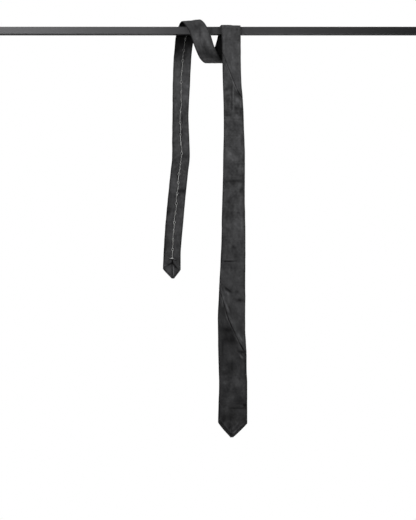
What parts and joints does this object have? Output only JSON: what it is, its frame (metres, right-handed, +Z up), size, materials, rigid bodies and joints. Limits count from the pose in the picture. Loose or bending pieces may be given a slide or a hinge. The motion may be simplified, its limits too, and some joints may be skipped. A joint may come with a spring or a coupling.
{
  "type": "leather necktie on a display rail",
  "caption": "Slim black leather necktie wound round a square display rail, its narrow tail hanging behind and its pointed blade in front.",
  "frame": {"origin": "axis of the square rail, at the middle of its length, where the tie hangs", "axes": "+X along the rail to the right, +Y to the back, away from the blade's smooth face, +Z up"},
  "size_m": [0.84, 0.0239, 0.7925],
  "materials": {
    "leather": "matte",
    "facing_leather": "matte",
    "thread": "matte",
    "rail": "satin"
  },
  "bodies": {
    "root": {"rail": "rail", "tail_and_neck_panel": "leather", "blade_middle_panel": "leather", "blade_end_panel": "leather", "tail_facing_left": "facing_leather", "tail_facing_right": "facing_leather", "blade_facing_left": "facing_leather", "blade_facing_right": "facing_leather"}
  },
  "joints": []
}
